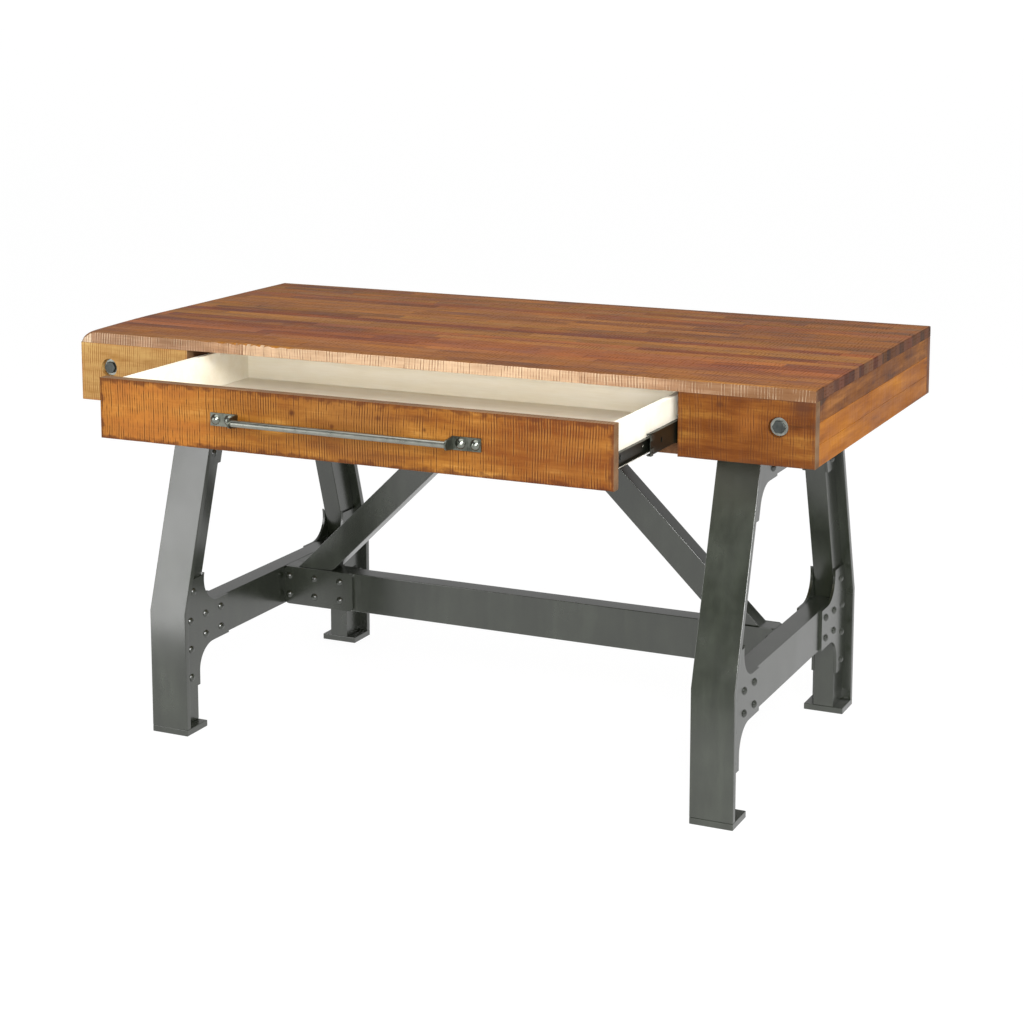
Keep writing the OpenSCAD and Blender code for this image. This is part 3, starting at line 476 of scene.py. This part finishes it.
HIDDEN_WOOD = wood("brown_stained_inner_boards", ["#3A2412", "#4E3420", "#5C3F28", "#6A4A30"], along="Y",
                   across="X", saw=0.15, streak=0.5, gloss=0.6, bump=0.1)
BOX_WOOD = wood("drawer_box_planed_birch", ["#E6E0CC", "#EEE7D4", "#F3EEDF", "#F7F3E8"], saw=0.0, streak=0.4,
                patchy=0.3, gloss=0.5, bump=0.05)
BASE_PAINT = painted_steel("graphite_painted_steel", "#1F231A", "#2E3329", "#161A12")
SLIDE_BLACK = bare_steel("black_zinc_steel", "#23261E", "#14160F", gloss=0.38, brushed="Y", metal=0.6)
BALL_STEEL = bare_steel("bearing_steel", "#B0B3AE", "#7C7F7A", gloss=0.25, brushed="Y")
BAR_STEEL = bare_steel("brushed_bar_steel", "#94958D", "#7C7D76", gloss=0.3)
STRAP_STEEL = bare_steel("dull_strap_steel", "#6F726A", "#43463E", gloss=0.36, brushed="Z")
DOME_STEEL = bare_steel("polished_dome_steel", "#83867E", "#52554D", gloss=0.24, brushed="Z")
BOLT_STEEL = bare_steel("dull_bolt_steel", "#4C4F4D", "#2C2F2D", gloss=0.4, brushed="Z")
WASHER_STEEL = bare_steel("washer_steel", "#8C8E88", "#5C5F59", gloss=0.36, brushed="Z")
STOP_PLASTIC = moulded_plastic("black_moulded_nylon", "#15160F", "#33352E", gloss=0.45)
MATERIAL_OF = {"worktop_oak": WORKTOP, "case_oak": BACK_BOARDS, "side_oak": SIDE_BOARDS,
               "drawer_front_oak": DRAWER_FACE, "hidden_softwood": HIDDEN_WOOD, "drawer_box_wood": BOX_WOOD,
               "slide_steel": SLIDE_BLACK, "ball_steel": BALL_STEEL, "handle_steel": BAR_STEEL,
               "bracket_steel": STRAP_STEEL, "bolt_steel": BOLT_STEEL, "base_steel": BASE_PAINT}
for n in nodes:
    carried(n, MATERIAL_OF[SLOT_OF[n]])

# ---------------------------------------------------------------- worktop


def ripple(x, y, z, seed=0.0):
    return noise.noise(Vector((x + seed, y, z)))


def select_faces(piece, wanted):
    """Edit mode with only the wanted faces selected."""
    start_edit(piece)
    bpy.ops.mesh.select_mode(type="FACE")
    bm = bmesh.from_edit_mesh(piece.data)
    for f in bm.faces:
        f.select_set(wanted(f))
    bmesh.update_edit_mesh(piece.data)


def thicken(piece, by, is_back):
    """Gives a sheet of cells its thickness, with one whole face at the back."""
    start_edit(piece)
    bpy.ops.mesh.select_all(action="SELECT")
    bpy.ops.mesh.extrude_region_move(TRANSFORM_OT_translate={"value": by})
    bpy.ops.mesh.select_all(action="SELECT")
    bpy.ops.mesh.normals_make_consistent(inside=False)
    end_edit()
    select_faces(piece, is_back)
    bpy.ops.mesh.dissolve_faces()
    end_edit()


def round_rim(piece, width, segments, on_rim):
    """Rounds the edges whose two ends are both on the rim."""
    bm = start_edit(piece)
    for e in bm.edges:
        e.select_set(all(on_rim(v.co) for v in e.verts))
    bmesh.update_edit_mesh(piece.data)
    bpy.ops.mesh.bevel(offset=width, segments=segments, affect="EDGES", clamp_overlap=False)
    end_edit()


TINY = 0.01 * MM
FOOT_R = 3 * MM             # the front left corner's radius at the slab's bottom
CORNER_R = 13 * MM          # and how much more it has at the top
BITE_GAP = 29 * MM          # one saw bite after another along the front arris
BITE_DEEP = 5 * MM


def sawn_slab():
    """The staved slab: a scraped and chipped front arris, and a front left corner rubbed right down."""
    lo, hi = TOP_LO, TOP_HI
    middle = (lo + hi) / 2
    piece = grid("worktop_slab", (middle.x, middle.y, hi.z), hi.x - lo.x, hi.y - lo.y, (356, 90))
    thicken(piece, (0, 0, lo.z - hi.z), lambda f: f.normal.z < -0.9)
    round_rim(piece, 2.2 * MM, 3, lambda p: abs(p.z - hi.z) < TINY and
              min(p.x - lo.x, hi.x - p.x, p.y - lo.y, hi.y - p.y) < TINY)
    bm = start_edit(piece)
    corner = Vector((lo.x, lo.y))
    for v in bm.verts:
        x, y, z = v.co
        top = (z - lo.z) / (hi.z - lo.z)
        front = max(0.0, 1 - (y - lo.y) / (9 * MM))
        # soft hollows where the arris was scraped, and a run of saw bites along one stretch of the front
        scrape = max(0.0, ripple(x * 26, 0, 0, 3)) * 1.8 + max(0.0, ripple(x * 75, 0, 0, 9)) * 1.4
        stretch = math.exp(-((x - (lo.x + 0.37)) / 0.085) ** 4)
        swing = math.sin((x + 4 * MM * ripple(x * 9, 0, 0, 1)) * math.pi / BITE_GAP)
        bite = stretch * (1 - abs(swing)) ** 0.8 * BITE_DEEP
        v.co.y += front * top * (scrape * 0.8 * MM + bite * 0.9)
        v.co.z -= front * top * (scrape * 0.7 * MM + bite * 1.1)
        end = max(0.0, 1 - (hi.x - x) / (6 * MM))
        v.co.x -= end * top * max(0.0, ripple(y * 40, 1, 0, 5)) * 2.0 * MM
        if top > 0.95:
            v.co.z -= (0.1 + 0.1 * ripple(x * 9, y * 160, 0, 2)) * MM
        # the left end is worn down towards the front, and the corner rounded, most at the top
        wear = max(0.0, 1 - (y - lo.y) / 0.22) ** 1.5 * math.exp(-((x - lo.x) / (14 * MM)) ** 2)
        v.co.z -= top * wear * 5.5 * MM
        away = (Vector((x, y)) - corner).length
        v.co.z -= top * math.exp(-(away / (20 * MM)) ** 2) * 7 * MM
        round_off = FOOT_R + CORNER_R * top * top
        inner = corner + Vector((round_off, round_off))
        off = Vector((v.co.x, v.co.y)) - inner
        if off.x < 0 and off.y < 0 and off.length > round_off:
            off = off.normalized() * round_off
            v.co.x, v.co.y = inner.x + off.x, inner.y + off.y
    bmesh.update_edit_mesh(piece.data)
    end_edit()
    smooth(piece, 40)
    stand_for(piece, "tabletop", WORKTOP)
    piece.data.materials.append(SLAB_EDGE)
    piece.data.materials.append(SLAB_END)
    for f in piece.data.polygons:
        if abs(f.normal.y) > 0.6 or f.normal.z < -0.9:
            f.material_index = 1
        elif abs(f.normal.x) > 0.6:
            f.material_index = 2
    return piece


sawn_slab()

# ---------------------------------------------------------------- sawn boards


def cut_round(piece, centre, radius, depth):
    """Sinks a round hole into the front of a board, straight back from its face."""
    deselect()
    bpy.ops.mesh.primitive_cylinder_add(vertices=48, radius=radius, depth=2 * depth, location=centre,
                                        rotation=(math.pi / 2, 0, 0))
    cutter = settle(bpy.context.object, "recess_cutter")
    hole = piece.modifiers.new("hole", "BOOLEAN")
    hole.operation = "DIFFERENCE"
    hole.solver = "EXACT"
    hole.object = cutter
    activate(piece)
    bpy.ops.object.modifier_apply(modifier="hole")
    bpy.data.objects.remove(cutter)


def sawn_board(node, name, material, cells, bolt_x=None, rough_mm=0.35, gap_mm=6.2):
    """A board whose front face carries real saw grooves. cells: how many mesh cells along X and Z.
    bolt_x: where its bolt is sunk, if it has one."""
    lo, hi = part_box(node)
    middle = (lo + hi) / 2
    piece = grid(name, (middle.x, lo.y, middle.z), hi.x - lo.x, hi.z - lo.z, cells, (math.pi / 2, 0, 0))
    thicken(piece, (0, hi.y - lo.y, 0), lambda f: f.normal.y > 0.9)
    round_rim(piece, 1.2 * MM, 2, lambda p: abs(p.y - lo.y) < TINY and
              min(p.x - lo.x, hi.x - p.x, p.z - lo.z, hi.z - p.z) < TINY)
    bm = start_edit(piece)
    for v in bm.verts:
        x, y, z = v.co
        if y > lo.y + 1.5 * MM:
            continue
        groove = ripple(x * 900 / gap_mm, z * 7, 0, 4) + 0.5 * ripple(x * 2100 / gap_mm, z * 16, 0, 8)
        v.co.y += (0.5 + groove) * rough_mm * MM
        edge = max(0.0, 1 - min(z - lo.z, hi.z - z) / (4 * MM))
        v.co.y += edge * max(0.0, ripple(x * 60, z * 50, 0, 6)) * 1.4 * MM
    bmesh.update_edit_mesh(piece.data)
    end_edit()
    if bolt_x is not None:
        bolt_z = sum(c.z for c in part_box("front_washers")) / 2
        cut_round(piece, (bolt_x, lo.y, bolt_z), RECESS_R, RECESS_DEEP)
        cut_round(piece, (bolt_x, lo.y, bolt_z), SHANK_R, hi.y - lo.y + 1 * MM)
    smooth(piece, 40)
    stand_for(piece, node, material)
    piece.data.materials.append(BOARD_RIM)
    for f in piece.data.polygons:
        near_bolt = bolt_x is not None and abs(f.center.x - bolt_x) < 1.1 * RECESS_R
        if not near_bolt and (abs(f.normal.x) > 0.8 or f.normal.z > 0.8):
            f.material_index = 1
    return piece


WASHER_LO, WASHER_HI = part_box("front_washers")
RECESS_R, SHANK_R = 17 * MM, 5.05 * MM
RECESS_DEEP = WASHER_HI.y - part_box("left_front_panel")[0].y
BOLT_X = WASHER_HI.x - (WASHER_HI.z - WASHER_LO.z) / 2
# cells of 2.5 mm along each face
sawn_board("drawer_front", "drawer_face_board", DRAWER_FACE, (380, 40))
sawn_board("left_front_panel", "left_block_board", LEFT_BLOCK, (94, 40), -BOLT_X)
sawn_board("right_front_panel", "right_block_board", RIGHT_BLOCK, (94, 40), BOLT_X)


SIDE_BOARD_WIDE = 36.3 * MM


def side_boards(node, name):
    """Three planed boards glued edge to edge, each with its corners eased so that the joints show."""
    lo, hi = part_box(node)
    cuts = [lo.z, lo.z + SIDE_BOARD_WIDE, lo.z + 2 * SIDE_BOARD_WIDE, hi.z]
    boards = []
    for z0, z1 in zip(cuts, cuts[1:]):
        b = block(name, (lo.x, lo.y, z0), (hi.x, hi.y, z1))
        bevel_sharp(b, 0.8 * MM)
        boards.append(b)
    piece = join(boards, name)
    smooth(piece)
    stand_for(piece, node, SIDE_BOARDS)
    piece.data.materials.append(SIDE_TOP_BOARD)
    for f in piece.data.polygons:
        if f.center.z > cuts[2]:
            f.material_index = 1
    return piece


side_boards("left_side_panel", "left_side_boards")
side_boards("right_side_panel", "right_side_boards")
eased("back_panel", 1.0 * MM, BACK_BOARDS)
for n in ("drawer_left_side", "drawer_right_side", "drawer_back", "drawer_inner_front"):
    eased(n, 0.8 * MM, BOX_WOOD)

# ---------------------------------------------------------------- bolts, handle and slides

eased("front_bolts", 0.9 * MM, BOLT_STEEL)
eased("front_washers", 0.4 * MM, WASHER_STEEL)
eased("handle_bar", 0.5 * MM, BAR_STEEL)
eased("handle_screws", 0, DOME_STEEL)
for side in ("left", "right"):
    eased(side + "_handle_bracket", 0.9 * MM, STRAP_STEEL)
    for member in ("case", "middle", "drawer"):
        eased("%s_slide_%s_member" % (side, member), 0.3 * MM, SLIDE_BLACK, shortest=1.1 * MM)


def slide_stop(side):
    """The moulded stop that closes the front end of a middle slide member: a cap on its web with two arms."""
    lo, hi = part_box(side + "_slide_middle_member")
    out = 1 if side == "right" else -1
    web = hi.x if side == "right" else lo.x
    middle_z = (lo.z + hi.z) / 2
    half = (hi.z - lo.z) / 2
    parts = []
    # each part: outwards from the web and back from the front end, in mm, then its height as shares of half
    # the member's own; the middle stays clear, where the case screws' heads pass
    for x0, x1, y0, y1, z0, z1 in (
            (0.0, 1.5, -0.5, 14.0, 0.36, 0.78), (0.0, 1.5, -0.5, 14.0, -0.78, -0.36),
            (0.0, 1.9, 1.5, 5.0, 0.42, 0.6), (0.0, 1.9, 8.0, 12.0, -0.7, -0.45),
            (-5.5, 1.5, -0.5, 9.0, 0.98, 1.06), (-5.5, 1.5, -0.5, 9.0, -1.06, -0.98),
            (-0.3, 1.5, -0.5, 9.0, 0.7, 1.06), (-0.3, 1.5, -0.5, 9.0, -1.06, -0.7)):
        xs = sorted((web + out * x0 * MM, web + out * x1 * MM))
        part = block("stop_part", (xs[0], lo.y + y0 * MM, middle_z + half * z0),
                     (xs[1], lo.y + y1 * MM, middle_z + half * z1))
        bevel_sharp(part, 0.25 * MM, 1)
        parts.append(part)
    piece = join(parts, side + "_slide_stop")
    smooth(piece)
    piece.data.materials.clear()
    piece.data.materials.append(STOP_PLASTIC)
    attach(piece, BODY_OF[side + "_slide_middle_member"])
    return piece


slide_stop("left")
slide_stop("right")

# ---------------------------------------------------------------- trestles

for side in ("left", "right"):
    for end in ("front", "rear"):
        eased("%s_%s_leg_plate" % (end, side), 1.2 * MM, BASE_PAINT, creases=True)
        eased("%s_%s_post" % (end, side), 2.5 * MM, BASE_PAINT, creases=True)
    eased(side + "_feet", 1.2 * MM, BASE_PAINT)
    eased(side + "_lower_rail", 2.5 * MM, BASE_PAINT)
    eased(side + "_upper_rail", 2.5 * MM, BASE_PAINT)
    eased(side + "_gussets", 0.7 * MM, BASE_PAINT)
    eased(side + "_brace", 2.5 * MM, BASE_PAINT)
eased("stretcher", 2.5 * MM, BASE_PAINT)
eased("stretcher_end_plates", 0.7 * MM, BASE_PAINT)
eased("brace_head_plate", 1.0 * MM, BASE_PAINT)
eased("base_rivets", 0, BASE_PAINT)

# ---------------------------------------------------------------- stage, light and camera


def lamp(name, place, aim, wide, tall, watts):
    """A soft rectangular light, in metres, turned towards aim."""
    data = bpy.data.lights.new(name, "AREA")
    data.shape = "RECTANGLE"
    data.size, data.size_y = wide, tall
    data.energy = watts
    o = bpy.data.objects.new(name, data)
    bpy.context.scene.collection.objects.link(o)
    o.location = place
    o.rotation_euler = (Vector(aim) - Vector(place)).to_track_quat("-Z", "Y").to_euler()
    o.visible_camera = False


lamp("softbox_left", (-2.2, -2.75, 1.0), (-0.2, -0.2, 0.6), 1.1, 1.7, 27)
lamp("softbox_front", (1.3, -3.5, 1.15), (0.0, -0.2, 0.68), 1.6, 0.9, 100)
lamp("softbox_high", (2.0, -2.8, 2.4), (0.0, -0.4, 0.68), 2.0, 1.2, 140)
lamp("softbox_top", (0.2, -0.7, 3.1), (0.0, 0.0, 0.6), 3.0, 2.2, 60)
lamp("softbox_right", (3.1, -0.9, 1.3), (0.4, 0.1, 0.6), 1.6, 1.6, 8)

deselect()
bpy.ops.mesh.primitive_plane_add(size=120, location=(0, 0, 0))
floor = settle(bpy.context.object, "floor")
pale, t = new_material("pale_paper_floor")
paper = add(t, "BsdfPrincipled", {"Base Color": colour("#404040"), "Roughness": 0.9,
                                  "Emission Color": colour("#FFFFFF"), "Emission Strength": 0.95})
add(t, "OutputMaterial", [paper])
floor.data.materials.append(pale)

world = bpy.data.worlds.new("studio")
bpy.context.scene.world = world
world.use_nodes = True
t = world.node_tree
t.nodes.clear()
# the set is dark on the camera's side and white behind the desk; the camera itself sees only white
seen = add(t, "LightPath", out="Is Camera Ray")
way = add(t, "SeparateXYZ", [add(t, "NewGeometry", out="Incoming")], out="Y")
around = add(t, "MapRange", [way, 0.35, -0.5, 0.1, 0.55])
strength = add(t, "Math", [seen, 1.2], operation="MULTIPLY")
strength = add(t, "Math", [strength, around], operation="MAXIMUM")
backdrop = add(t, "Background", {"Color": colour("#FFFFFF"), "Strength": strength})
add(t, "OutputWorld", {"Surface": backdrop})

LENS_MM, SENSOR_MM = 75.21, 36.0
CAMERA_PLACE = (1.6888, -3.4536, 1.3937)
CAMERA_TURN, CAMERA_TILT = 25.029, 8.452      # degrees round from the front, and down
camera_data = bpy.data.cameras.new("camera")
camera_data.lens = LENS_MM
camera_data.sensor_width = SENSOR_MM
camera_data.shift_y = -0.2
camera_data.clip_end = 300
camera = bpy.data.objects.new("camera", camera_data)
bpy.context.scene.collection.objects.link(camera)
camera.location = CAMERA_PLACE
camera.rotation_euler = (math.radians(90 - CAMERA_TILT), 0, math.radians(CAMERA_TURN))
bpy.context.scene.camera = camera
bpy.context.scene.view_settings.view_transform = "Standard"

bpy.context.view_layer.update()
